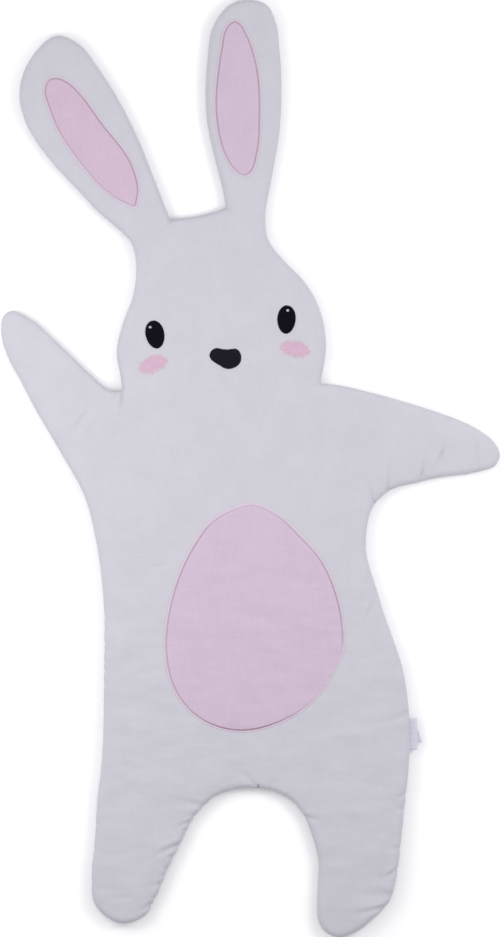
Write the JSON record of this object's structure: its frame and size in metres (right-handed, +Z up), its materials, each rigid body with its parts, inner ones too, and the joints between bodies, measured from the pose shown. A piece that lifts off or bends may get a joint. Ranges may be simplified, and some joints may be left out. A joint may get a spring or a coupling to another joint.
{
  "type": "rabbit shaped padded mat",
  "caption": "Padded play mat cut in the shape of a rabbit, with an embroidered face, sewn-on tummy and inner ears, and a label in the side seam.",
  "frame": {"origin": "middle of the mat's outline, on the floor that it lies on", "axes": "+Y towards the ears, +X to the right of someone who looks down at the face, +Z up out of the face"},
  "size_m": [0.6388, 1.2002, 0.023],
  "materials": {
    "cotton": "plain woven cotton with faint slubs, matt",
    "pink_cotton": "plain woven pale pink cotton, matt",
    "mauve_stitching": "dense matt stitches",
    "black_embroidery": "filled embroidery with a slight sheen",
    "pale_thread": "a few thread ends, slight sheen",
    "blush_thread": "loose embroidery with a slight sheen",
    "label_tape": "smooth woven label tape"
  },
  "bodies": {
    "root": {"body": "cotton", "tummy_patch": "pink_cotton", "tummy_stitching": "mauve_stitching", "inner_ear_left": "pink_cotton", "inner_ear_right": "pink_cotton", "ear_stitching_left": "mauve_stitching", "ear_stitching_right": "mauve_stitching", "eye_left": "black_embroidery", "eye_right": "black_embroidery", "eye_light_left": "pale_thread", "eye_light_right": "pale_thread", "mouth": "black_embroidery", "blush_left": "blush_thread", "blush_right": "blush_thread", "side_label": "label_tape", "care_label": "label_tape"}
  },
  "joints": []
}
